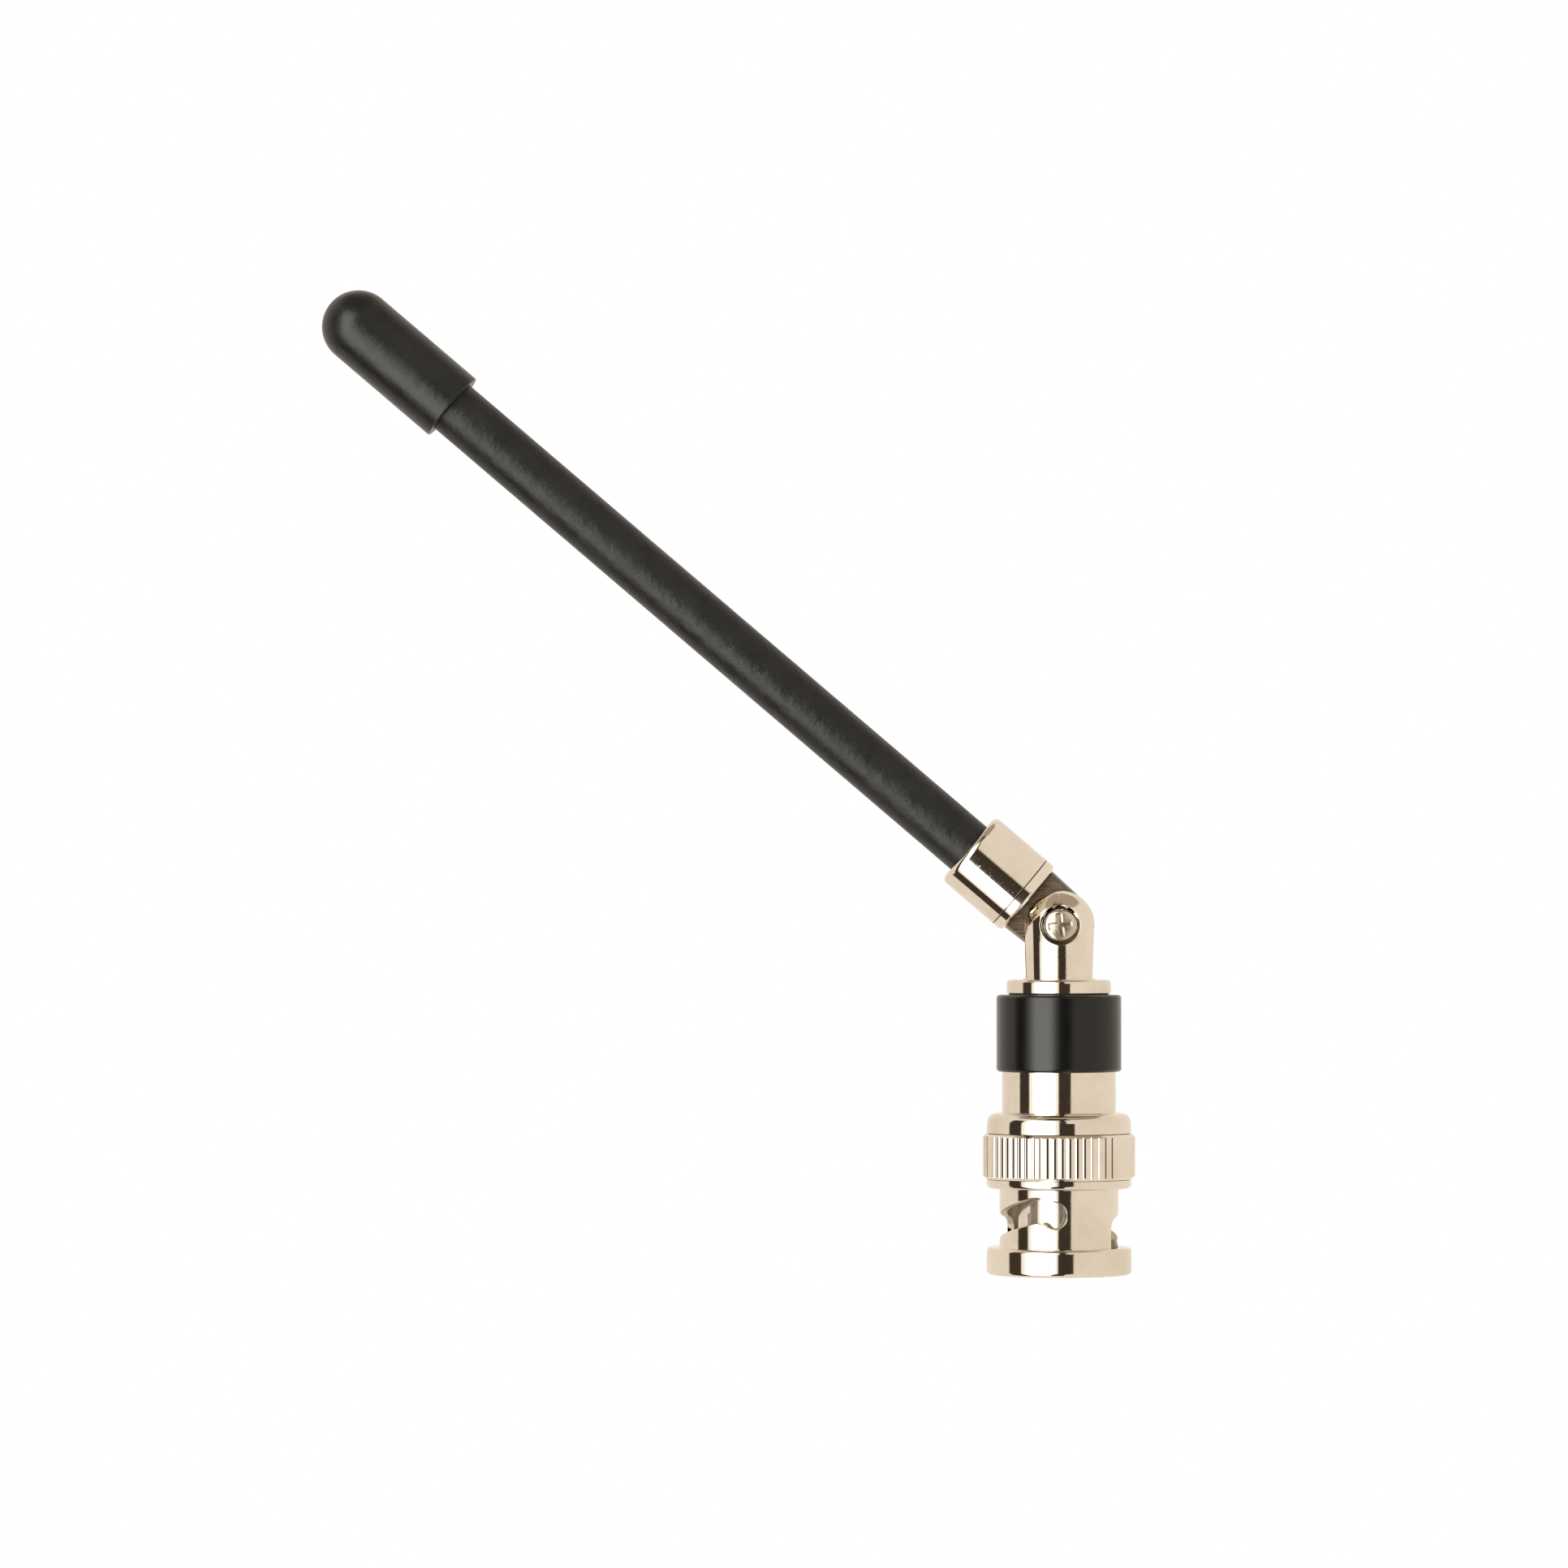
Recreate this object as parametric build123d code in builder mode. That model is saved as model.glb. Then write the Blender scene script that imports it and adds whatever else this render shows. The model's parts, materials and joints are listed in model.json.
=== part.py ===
from build123d import *
from math import cos, radians, sin, sqrt
import os

# Elbowed whip antenna on a bayonet plug. Millimetres, +Z up the plug's axis, and the origin at the
# centre of the plug's open end. The whip leans towards -X, and its pivot runs along Y.

# --- clearances -------------------------------------------------------------------------------------
ASSEMBLED = 0.02        # gap between two pieces of one body, one inside the other
RUNNING = 0.08          # radial gap where the coupling nut turns and slides
PIVOT_RUNNING = 0.05    # radial gap of the tongue on the pivot screw
FACE_GAP = 0.02         # gap between flat faces that move on each other
NUT_BACK_GAP = 0.05     # gap behind the coupling nut at rest

# --- outer contact, whose shank carries the coupling nut ---------------------------------------------
CONTACT_R = 3.9
CONTACT_WALL = 0.6
CONTACT_TIP_FLARE = 0.14
CONTACT_TIP_Z = 2.3
CONTACT_TIP_LENGTH = 1.3
CONTACT_TAPER = 0.6
SLIT_WIDTH = 0.34
SLIT_LENGTH = 3.6
SLIT_COUNT = 4
SLIT_AZIMUTH = -50.2
FLANGE_THICKNESS = 1.0
SHANK_SEAT = 2.1        # length of shank inside the rear body

# --- coupling nut, from its bore outward and from its open end up --------------------------------------
NUT_BORE_R = 4.93       # clears the shell of the mating socket
NUT_LIP = 1.05          # thickness of the lip that holds the nut on
BARREL_WALL = 0.735
RIM_STEP = 1.235        # from the barrel out to the rim and the shoulder
KNURL_STEP = 0.35       # from the shoulder out to the knurl
CROWN_STEP = 0.1        # how far the crown tapers in
RIM_HEIGHT = 2.6
RIM_EDGE = 0.4
BARREL_LENGTH = 5.6
SHOULDER_LENGTH = 0.9
KNURL_HEIGHT = 4.3
KNURL_CHAMFER = 0.3
KNURL_TEETH = 56
KNURL_DEPTH = 0.2
CROWN_LENGTH = 1.95
CROWN_EDGE = 0.9
LEAD_IN = 0.25

# --- bayonet track, by azimuth from -Y towards +X ------------------------------------------------------
LUG_SLOT_WIDTH = 2.4
LUG_GROOVE_DEPTH = 0.67  # cut in the rim's bore, for the socket's lugs
POCKET_AZIMUTH = -7.2
POCKET_R = 1.28
POCKET_Z = 5.77
ENTRY_SWEEP = 102.5     # from the pocket back to the way in
ENTRY_Z = 4.23          # where the way in meets the ramp
RAMP_RISE = 0.0244      # per degree
CREST_SWEEP = 20.0      # the ramp starts to fall into the pocket this far before it
CREST_OVERRUN = 2.0
TRACK_STEPS = 16

# --- gasket, wave spring and thrust washer ----------------------------------------------------------------
GASKET_THICKNESS = 1.0
GASKET_WALL = 0.83
SPRING_ROOM = 1.3       # from the flange to the nut's lip
SPRING_WIRE = 0.15      # thickness of the wave spring's strip
SPRING_WIDTH = 0.7
SPRING_WAVES = 3
SPRING_SPLIT = 4.0      # half of the opening in the ring, degrees
SPRING_STEPS = 36
WASHER_THICKNESS = 0.25

# --- centre pin and insulators -----------------------------------------------------------------------------
PIN_R = 0.675
PIN_TIP_R = 0.28
PIN_TIP_Z = 3.4
PIN_TAPER = 0.9
PIN_ROOT_R = 1.0
PIN_COLLAR_R = 1.4
PIN_COLLAR_Z = 11.4
PIN_END_Z = 12.4
PIN_SOCKET_R = 0.62
PIN_SOCKET_DEPTH = 1.2
INSULATOR_FRONT_Z = 4.4
INSULATOR_FLOOR_Z = 8.6
INSULATOR_WALL = 0.78
INSULATOR_BACK_Z = 12.6
INSULATOR_INSET = 0.6   # of the rear insulator in the neck

# --- rear body, collar and what joins them --------------------------------------------------------------------
BODY_WALL = 1.5
BODY_LENGTH = 3.9
NECK_WALL = 1.1
NECK_LENGTH = 3.3
COLLAR_WALL = 1.53
COLLAR_LENGTH = 7.3
COLLAR_WEB = 1.7        # floor that the fork is bolted through
COLLAR_EDGE = 0.3
STUD_R = 0.8
STUD_TIP_R = 0.6
STUD_ENGAGEMENT = 1.8
STEM_R = 1.75
STEM_LENGTH = 4.28
STEM_NUT_ACROSS_FLATS = 5.0
STEM_NUT_HEIGHT = 1.6
STEM_NUT_ROOM = 0.21
STEM_WASHER_R = 2.8
STEM_WASHER_THICKNESS = 0.3
SEAL_INSET = 0.23
SEAL_THICKNESS = 0.18

# --- knuckle ------------------------------------------------------------------------------------------
LEAN = 49.48            # of the whip from upright, at rest
PIVOT_RISE = 5.2        # of the pivot over the fork's disc
DISC_R = 4.98
DISC_THICKNESS = 1.27
DISC_EDGE = 0.35
FORK_R = 3.6            # of the round column that the two ears are cut from
FORK_TAPER = 0.144      # from the pivot down to the disc
EAR_R = 3.4             # of each ear's round end
EAR_DROP = 0.12         # of that round end's centre under the pivot
FORK_EDGE = 0.8
FORK_SLOT = 2.9
SLOT_FLOOR_RISE = 0.1   # of the slot's floor over the disc
TONGUE_R = 3.5          # of the round bar that the tongue is cut from, at the ring
TONGUE_END_R = 3.33
TONGUE_GAP = 0.25       # from each flat of the tongue to its ear
PIVOT_WASHER_R = 2.6
PIVOT_WASHER_THICKNESS = 0.2
SCREW_R = 1.15
SCREW_HEAD_R = 1.72
SCREW_HEAD_HEIGHT = 1.15
SCREW_HEAD_EDGE = 0.55
SCREW_HEAD_ROOM = 0.2
SCREW_END_INSET = 0.25
COUNTERBORE_WALL = 0.8  # of the near ear, under the screw's head
RECESS_SPAN = 2.3
RECESS_WIDTH = 0.62
RECESS_DEPTH = 0.5
RECESS_TURN = 8.0

# --- whip, by distance from the pivot along it ----------------------------------------------------------
WHIP_LENGTH = 91.4
RING_START = 3.87
RING_WIDTH = 1.1
RING_R = 3.95
RING_EDGE = 0.3
SPIGOT_R = 2.9
SPIGOT_LENGTH = 4.53
FERRULE_LENGTH = 6.33
FERRULE_EDGE = 0.6
ROD_R = 2.65
ROD_SKIN = 0.35
ROD_SEAT_GAP = 0.15     # between the rod's foot and the spigot
CORE_R = 1.0
CORE_SEAT = 3.3         # of the conductor in the spigot
CORE_INSET = 0.6        # of the conductor in the rod's end
CAP_LENGTH = 15.3
CAP_WALL = 0.83
CAP_MOUTH_EDGE = 0.15
CAP_TIP_WALL = 2.5
CAP_TIP_ROOM = 0.3

# --- sizes that follow from those ---------------------------------------------------------------------------
BARREL_R = NUT_BORE_R + BARREL_WALL
RIM_R = BARREL_R + RIM_STEP
SHOULDER_R = RIM_R
KNURL_R = SHOULDER_R + KNURL_STEP
CROWN_R = SHOULDER_R - CROWN_STEP
LUG_GROOVE_R = NUT_BORE_R + LUG_GROOVE_DEPTH
BARREL_TOP = RIM_HEIGHT + BARREL_LENGTH
KNURL_BOTTOM = BARREL_TOP + SHOULDER_LENGTH
KNURL_TOP = KNURL_BOTTOM + KNURL_HEIGHT
NUT_HEIGHT = KNURL_TOP + CROWN_LENGTH
LIP_FRONT = NUT_HEIGHT - NUT_LIP
LIP_BORE_R = CONTACT_R + RUNNING

CONTACT_BORE_R = CONTACT_R - CONTACT_WALL
CONTACT_TIP_R = CONTACT_R + CONTACT_TIP_FLARE
SHANK_BORE_R = CONTACT_R + ASSEMBLED
FLANGE_R = NUT_BORE_R - RUNNING
FLANGE_BACK = LIP_FRONT - SPRING_ROOM
FLANGE_Z = FLANGE_BACK - FLANGE_THICKNESS
BODY_FRONT = NUT_HEIGHT + NUT_BACK_GAP
SHANK_TOP = BODY_FRONT + SHANK_SEAT
BORE_FILL_R = CONTACT_BORE_R - ASSEMBLED
INSULATOR_CAVITY_R = BORE_FILL_R - INSULATOR_WALL

BODY_R = SHANK_BORE_R + BODY_WALL
NECK_R = CONTACT_BORE_R + NECK_WALL
COLLAR_R = NECK_R + ASSEMBLED + COLLAR_WALL
COLLAR_Z = BODY_FRONT + BODY_LENGTH
NECK_TOP = COLLAR_Z + NECK_LENGTH
REAR_INSULATOR_TOP = NECK_TOP - INSULATOR_INSET
COLLAR_TOP = COLLAR_Z + COLLAR_LENGTH
POCKET_FLOOR = COLLAR_TOP - COLLAR_WEB
NUT_POCKET_R = STEM_NUT_ACROSS_FLATS / sqrt(3) + STEM_NUT_ROOM

SEAL_R = DISC_R - SEAL_INSET
DISC_BOTTOM = COLLAR_TOP + SEAL_THICKNESS
DISC_TOP = DISC_BOTTOM + DISC_THICKNESS
STEM_BOTTOM = DISC_BOTTOM - STEM_LENGTH
STUD_TOP = STEM_BOTTOM + STUD_ENGAGEMENT
PIVOT_Z = DISC_TOP + PIVOT_RISE
FORK_ROOT_R = FORK_R - FORK_TAPER
SLOT_FLOOR = DISC_TOP + SLOT_FLOOR_RISE
TONGUE_THICKNESS = FORK_SLOT - 2 * TONGUE_GAP
COUNTERBORE_R = SCREW_HEAD_R + SCREW_HEAD_ROOM
COUNTERBORE_Y = FORK_SLOT / 2 + COUNTERBORE_WALL

RING_END = RING_START + RING_WIDTH
SPIGOT_END = RING_END + SPIGOT_LENGTH
FERRULE_END = RING_END + FERRULE_LENGTH
ROD_START = SPIGOT_END + ROD_SEAT_GAP
CORE_START = SPIGOT_END - CORE_SEAT
CAP_START = WHIP_LENGTH - CAP_LENGTH
CAP_FLOOR = WHIP_LENGTH - CAP_TIP_WALL
ROD_END = CAP_FLOOR - CAP_TIP_ROOM
CORE_END = ROD_END - CORE_INSET
CAP_R = ROD_R + ASSEMBLED + CAP_WALL

WHIP_DIRECTION = (-sin(radians(LEAN)), 0, cos(radians(LEAN)))
WHIP_ACROSS = (cos(radians(LEAN)), 0, sin(radians(LEAN)))
WHIP_SECTION = Plane(origin=(0, 0, PIVOT_Z), x_dir=WHIP_ACROSS, z_dir=(0, -1, 0))


def turned(profile, plane=Plane.XZ):
    """Turn a closed outline of (radius, height, corner radius) about the plane's upright axis."""
    with BuildSketch(plane) as section:
        with BuildLine():
            FilletPolyline(
                *[(radius, height) for radius, height, _ in profile],
                radius=[corner for _, _, corner in profile],
                close=True,
            )
        make_face()
    revolve(section.sketch, axis=Axis(plane.origin, plane.y_dir))


def sleeve(outer, inner, bottom, top, outer_edge=0.0, plane=Plane.XZ):
    """A plain ring or tube, with its outer edges rounded if asked."""
    turned(
        [(inner, bottom, 0), (outer, bottom, outer_edge), (outer, top, outer_edge), (inner, top, 0)],
        plane,
    )


def outward(azimuth):
    """Unit vector from the axis at an azimuth counted from -Y towards +X."""
    return (sin(radians(azimuth)), -cos(radians(azimuth)), 0)


def radial_plane(azimuth, height):
    """Upright plane through the axis: local X runs outward and local Y runs up."""
    turn = radians(azimuth)
    return Plane(origin=(0, 0, height), x_dir=outward(azimuth), z_dir=(-cos(turn), -sin(turn), 0))


def swept_band(inner, outer, azimuths, middle, half_height, mode=Mode.ADD):
    """Loft a rectangle round the axis, rising and falling with middle(azimuth)."""
    sections = []
    for azimuth in azimuths:
        with BuildSketch(radial_plane(azimuth, middle(azimuth))) as section:
            with Locations(((inner + outer) / 2, 0)):
                Rectangle(outer - inner, 2 * half_height)
        sections.append(section.sketch)
    loft(sections, mode=mode)


def spaced(start, stop, steps):
    return [start + (stop - start) * step / steps for step in range(steps + 1)]


def track_height(sweep):
    """Height of the bayonet track's middle, by the sweep still to go before its pocket."""
    ramp = ENTRY_Z + RAMP_RISE * (ENTRY_SWEEP - sweep)
    travel = (CREST_SWEEP - sweep) / (CREST_SWEEP + CREST_OVERRUN)
    fall = max(0.0, min(1.0, travel))
    drop = ENTRY_Z + RAMP_RISE * ENTRY_SWEEP - POCKET_Z
    return ramp - drop * fall * fall * (3 - 2 * fall)


def cross_hole(radius, azimuth, height):
    """Drill right through at one azimuth and its opposite."""
    plane = Plane(origin=(0, 0, height), z_dir=outward(azimuth))
    with BuildSketch(plane) as mouth:
        Circle(radius)
    extrude(mouth.sketch, amount=RIM_R, both=True, mode=Mode.SUBTRACT)


def pivot_drill(radius, start, depth, mode=Mode.SUBTRACT):
    """A round bar or hole along the pivot, from y = start towards +Y."""
    with BuildSketch(Plane(origin=(0, start, PIVOT_Z), x_dir=(-1, 0, 0), z_dir=(0, 1, 0))) as mouth:
        Circle(radius)
    extrude(mouth.sketch, amount=depth, mode=mode)


# --- coupling nut: rim, slotted barrel, knurled grip and the lip that keeps it on ------------------------
with BuildPart() as coupling_nut:
    turned([
        (NUT_BORE_R + LEAD_IN, 0, 0),
        (RIM_R, 0, RIM_EDGE),
        (RIM_R, RIM_HEIGHT, RIM_EDGE),
        (BARREL_R, RIM_HEIGHT, 0),
        (BARREL_R, BARREL_TOP, 0),
        (SHOULDER_R, BARREL_TOP, LEAD_IN),
        (SHOULDER_R, KNURL_BOTTOM, 0),
        (KNURL_R - KNURL_CHAMFER, KNURL_BOTTOM, 0),
        (KNURL_R, KNURL_BOTTOM + KNURL_CHAMFER, 0),
        (KNURL_R, KNURL_TOP - KNURL_CHAMFER, 0),
        (KNURL_R - KNURL_CHAMFER, KNURL_TOP, 0),
        (SHOULDER_R, KNURL_TOP, 0),
        (CROWN_R, NUT_HEIGHT, CROWN_EDGE),
        (LIP_BORE_R, NUT_HEIGHT, 0),
        (LIP_BORE_R, LIP_FRONT, 0),
        (NUT_BORE_R, LIP_FRONT, 0),
        (NUT_BORE_R, LEAD_IN, 0),
    ])
    entry_azimuth = POCKET_AZIMUTH - ENTRY_SWEEP
    # Grooves inside the rim let the socket's lugs reach the track.
    with BuildSketch(Plane.XY) as lug_grooves:
        Circle(LUG_GROOVE_R)
        Rectangle(2 * RIM_R, LUG_SLOT_WIDTH, rotation=entry_azimuth - 90, mode=Mode.INTERSECT)
    extrude(lug_grooves.sketch, amount=RIM_HEIGHT, mode=Mode.SUBTRACT)
    with BuildSketch(Plane.XY.offset(RIM_HEIGHT)) as way_in:
        Rectangle(2 * RIM_R, LUG_SLOT_WIDTH, rotation=entry_azimuth - 90)
    extrude(way_in.sketch, amount=ENTRY_Z - RIM_HEIGHT, mode=Mode.SUBTRACT)
    cross_hole(LUG_SLOT_WIDTH / 2, entry_azimuth, ENTRY_Z)
    cross_hole(POCKET_R, POCKET_AZIMUTH, POCKET_Z)
    for pocket in (POCKET_AZIMUTH, POCKET_AZIMUTH + 180):
        swept_band(
            CONTACT_R,
            RIM_R,
            spaced(pocket - ENTRY_SWEEP, pocket, TRACK_STEPS),
            lambda azimuth: track_height(pocket - azimuth),
            LUG_SLOT_WIDTH / 2,
            Mode.SUBTRACT,
        )
    with BuildSketch(Plane.XY.offset(KNURL_BOTTOM)) as knurl_grooves:
        with PolarLocations(KNURL_R, KNURL_TEETH):
            Rectangle(KNURL_DEPTH * sqrt(2), KNURL_DEPTH * sqrt(2), rotation=45)
    extrude(knurl_grooves.sketch, amount=KNURL_HEIGHT, mode=Mode.SUBTRACT)

# --- outer contact: slotted sleeve, flange, and the shank that the nut turns on ---------------------------
with BuildPart() as outer_contact:
    tip_end = CONTACT_TIP_Z + CONTACT_TIP_LENGTH
    turned([
        (CONTACT_BORE_R, CONTACT_TIP_Z, 0.15),
        (CONTACT_TIP_R, CONTACT_TIP_Z, 0.25),
        (CONTACT_TIP_R, tip_end, 0),
        (CONTACT_R, tip_end + CONTACT_TAPER, 0),
        (CONTACT_R, FLANGE_Z, 0),
        (FLANGE_R, FLANGE_Z, 0),
        (FLANGE_R, FLANGE_BACK, 0),
        (CONTACT_R, FLANGE_BACK, 0),
        (CONTACT_R, SHANK_TOP, 0),
        (CONTACT_BORE_R, SHANK_TOP, 0),
    ])
    with BuildSketch(Plane.XY.offset(CONTACT_TIP_Z)) as slits:
        with PolarLocations(CONTACT_R, SLIT_COUNT, start_angle=SLIT_AZIMUTH - 90):
            Rectangle(CONTACT_BORE_R, SLIT_WIDTH)
    extrude(slits.sketch, amount=SLIT_LENGTH, mode=Mode.SUBTRACT)

# --- gasket in front of the flange, and the spring and washer behind it -----------------------------------
with BuildPart() as gasket:
    gasket_r = CONTACT_R + ASSEMBLED
    sleeve(gasket_r + GASKET_WALL, gasket_r, FLANGE_Z - GASKET_THICKNESS, FLANGE_Z)

washer_front = LIP_FRONT - FACE_GAP - WASHER_THICKNESS
with BuildPart() as thrust_washer:
    sleeve(FLANGE_R, LIP_BORE_R, washer_front, washer_front + WASHER_THICKNESS)

spring_bottom = FLANGE_BACK + FACE_GAP
spring_top = washer_front - FACE_GAP
with BuildPart() as wave_spring:
    spring_middle = (spring_bottom + spring_top) / 2
    spring_swing = (spring_top - spring_bottom - SPRING_WIRE) / 2
    swept_band(
        LIP_BORE_R,
        LIP_BORE_R + SPRING_WIDTH,
        spaced(SPRING_SPLIT, 360 - SPRING_SPLIT, SPRING_STEPS),
        lambda azimuth: spring_middle + spring_swing * cos(radians(SPRING_WAVES * azimuth)),
        SPRING_WIRE / 2,
    )

# --- centre pin and the two insulators ----------------------------------------------------------------------
with BuildPart() as centre_pin:
    turned([
        (0, PIN_TIP_Z, 0),
        (PIN_TIP_R, PIN_TIP_Z, 0.2),
        (PIN_R, PIN_TIP_Z + PIN_TAPER, 0),
        (PIN_R, INSULATOR_FLOOR_Z, 0),
        (PIN_ROOT_R, INSULATOR_FLOOR_Z, 0),
        (PIN_ROOT_R, PIN_COLLAR_Z, 0),
        (PIN_COLLAR_R, PIN_COLLAR_Z, 0),
        (PIN_COLLAR_R, PIN_END_Z, 0),
        (PIN_SOCKET_R, PIN_END_Z, 0),
        (PIN_SOCKET_R, PIN_END_Z - PIN_SOCKET_DEPTH, 0),
        (0, PIN_END_Z - PIN_SOCKET_DEPTH, 0),
    ])

with BuildPart() as front_insulator:
    turned([
        (INSULATOR_CAVITY_R, INSULATOR_FRONT_Z, 0),
        (BORE_FILL_R, INSULATOR_FRONT_Z, 0),
        (BORE_FILL_R, INSULATOR_BACK_Z, 0),
        (PIN_COLLAR_R + ASSEMBLED, INSULATOR_BACK_Z, 0),
        (PIN_COLLAR_R + ASSEMBLED, PIN_COLLAR_Z - ASSEMBLED, 0),
        (PIN_ROOT_R + ASSEMBLED, PIN_COLLAR_Z - ASSEMBLED, 0),
        (PIN_ROOT_R + ASSEMBLED, INSULATOR_FLOOR_Z, 0),
        (INSULATOR_CAVITY_R, INSULATOR_FLOOR_Z, 0),
    ])

with BuildPart() as rear_insulator:
    sleeve(BORE_FILL_R, STUD_R + ASSEMBLED, INSULATOR_BACK_Z + ASSEMBLED, REAR_INSULATOR_TOP)

# --- feed stud: from the pin's socket up into the fork's stem ----------------------------------------------
with BuildPart() as feed_stud:
    tip_bottom = PIN_END_Z - PIN_SOCKET_DEPTH + ASSEMBLED
    turned([
        (0, tip_bottom, 0),
        (STUD_TIP_R, tip_bottom, 0),
        (STUD_TIP_R, PIN_END_Z + ASSEMBLED, 0),
        (STUD_R, PIN_END_Z + ASSEMBLED, 0),
        (STUD_R, STUD_TOP, 0),
        (0, STUD_TOP, 0),
    ])

# --- rear body: the tube behind the nut, with a neck inside the collar ----------------------------------------
with BuildPart() as rear_body:
    turned([
        (SHANK_BORE_R, BODY_FRONT, 0),
        (BODY_R, BODY_FRONT, 0),
        (BODY_R, COLLAR_Z, 0),
        (NECK_R, COLLAR_Z, 0),
        (NECK_R, NECK_TOP, 0),
        (CONTACT_BORE_R, NECK_TOP, 0),
        (CONTACT_BORE_R, SHANK_TOP + ASSEMBLED, 0),
        (SHANK_BORE_R, SHANK_TOP + ASSEMBLED, 0),
    ])

# --- collar: insulates the whip's side from the plug's shell ----------------------------------------------------
with BuildPart() as insulator_collar:
    turned([
        (NECK_R + ASSEMBLED, COLLAR_Z, 0),
        (COLLAR_R, COLLAR_Z, COLLAR_EDGE),
        (COLLAR_R, COLLAR_TOP, COLLAR_EDGE),
        (STEM_R + ASSEMBLED, COLLAR_TOP, 0),
        (STEM_R + ASSEMBLED, POCKET_FLOOR, 0),
        (NUT_POCKET_R, POCKET_FLOOR, 0),
        (NUT_POCKET_R, NECK_TOP + ASSEMBLED, 0),
        (NECK_R + ASSEMBLED, NECK_TOP + ASSEMBLED, 0),
    ])

with BuildPart() as seal_washer:
    sleeve(SEAL_R, STEM_R + ASSEMBLED, COLLAR_TOP, DISC_BOTTOM)

# --- nut and washer that pull the fork's stem down on the collar ---------------------------------------------------
washer_bottom = POCKET_FLOOR - STEM_WASHER_THICKNESS
with BuildPart() as stem_washer:
    sleeve(STEM_WASHER_R, STEM_R + ASSEMBLED, washer_bottom, POCKET_FLOOR)

with BuildPart() as stem_nut:
    with BuildSketch(Plane.XY.offset(washer_bottom - STEM_NUT_HEIGHT)):
        RegularPolygon(STEM_NUT_ACROSS_FLATS / 2, 6, major_radius=False)
        Circle(STEM_R + ASSEMBLED, mode=Mode.SUBTRACT)
    extrude(amount=STEM_NUT_HEIGHT)

# --- fork: stem, disc and two ears with a slot between them -----------------------------------------------------------
with BuildPart() as knuckle_fork:
    ear_top = PIVOT_Z - EAR_DROP + EAR_R
    turned([
        (0, STEM_BOTTOM, 0),
        (STEM_R, STEM_BOTTOM, 0),
        (STEM_R, DISC_BOTTOM, 0),
        (DISC_R, DISC_BOTTOM, 0),
        (DISC_R, DISC_TOP, DISC_EDGE),
        (FORK_ROOT_R, DISC_TOP, 0),
        (FORK_R, PIVOT_Z, 0),
        (FORK_R, ear_top, 0),
        (0, ear_top, 0),
    ])
    with BuildSketch(Plane.XZ) as ear_outline:
        with Locations((0, (STEM_BOTTOM + PIVOT_Z) / 2)):
            Rectangle(3 * DISC_R, PIVOT_Z - STEM_BOTTOM)
        with Locations((0, PIVOT_Z - EAR_DROP)):
            Circle(EAR_R)
    extrude(ear_outline.sketch, amount=2 * DISC_R, both=True, mode=Mode.INTERSECT)
    with BuildSketch(Plane.XZ) as slot:
        with Locations((0, (SLOT_FLOOR + ear_top) / 2)):
            Rectangle(4 * FORK_R, ear_top - SLOT_FLOOR)
    extrude(slot.sketch, amount=FORK_SLOT / 2, both=True, mode=Mode.SUBTRACT)
    ear_rims = [
        edge
        for edge in knuckle_fork.edges().filter_by(GeomType.LINE, reverse=True)
        if edge.center().Z > PIVOT_Z + FORK_SLOT / 2 and abs(edge.center().Y) > FORK_SLOT / 2 + 0.1
    ]
    fillet(ear_rims, FORK_EDGE)
    # Counterbore and clearance hole in the near ear, tapped hole in the far one.
    pivot_drill(COUNTERBORE_R, -2 * FORK_R, 2 * FORK_R - COUNTERBORE_Y)
    pivot_drill(SCREW_R + PIVOT_RUNNING, -FORK_R, FORK_R)
    pivot_drill(SCREW_R + ASSEMBLED, 0, 2 * FORK_R)
    with BuildSketch(Plane.XY.offset(STEM_BOTTOM)) as stud_hole:
        Circle(STUD_R + ASSEMBLED)
    extrude(stud_hole.sketch, amount=STUD_TOP + ASSEMBLED - STEM_BOTTOM, mode=Mode.SUBTRACT)

# --- pivot screw: round head with a cross recess, in the near ear -------------------------------------------------------
with BuildPart() as pivot_screw:
    head_top = COUNTERBORE_Y + SCREW_HEAD_HEIGHT
    screw_length = COUNTERBORE_Y + FORK_R - SCREW_END_INSET
    pivot_drill(SCREW_HEAD_R, -head_top, SCREW_HEAD_HEIGHT, Mode.ADD)
    fillet(pivot_screw.edges().group_by(Axis.Y)[0], SCREW_HEAD_EDGE)
    pivot_drill(SCREW_R, -COUNTERBORE_Y, screw_length, Mode.ADD)
    with BuildSketch(Plane(origin=(0, -head_top, PIVOT_Z), x_dir=(-1, 0, 0), z_dir=(0, 1, 0))) as recess:
        Rectangle(RECESS_SPAN, RECESS_WIDTH, rotation=-RECESS_TURN)
        Rectangle(RECESS_WIDTH, RECESS_SPAN, rotation=-RECESS_TURN)
    extrude(recess.sketch, amount=RECESS_DEPTH, taper=12, mode=Mode.SUBTRACT)

# --- thin washers on both sides of the tongue -------------------------------------------------------------------------------
with BuildPart() as pivot_washers:
    washer_y = FORK_SLOT / 2 - FACE_GAP - PIVOT_WASHER_THICKNESS
    for start in (washer_y, -washer_y - PIVOT_WASHER_THICKNESS):
        pivot_drill(PIVOT_WASHER_R, start, PIVOT_WASHER_THICKNESS, Mode.ADD)
    pivot_drill(SCREW_R + PIVOT_RUNNING, -FORK_R, 2 * FORK_R)

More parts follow.
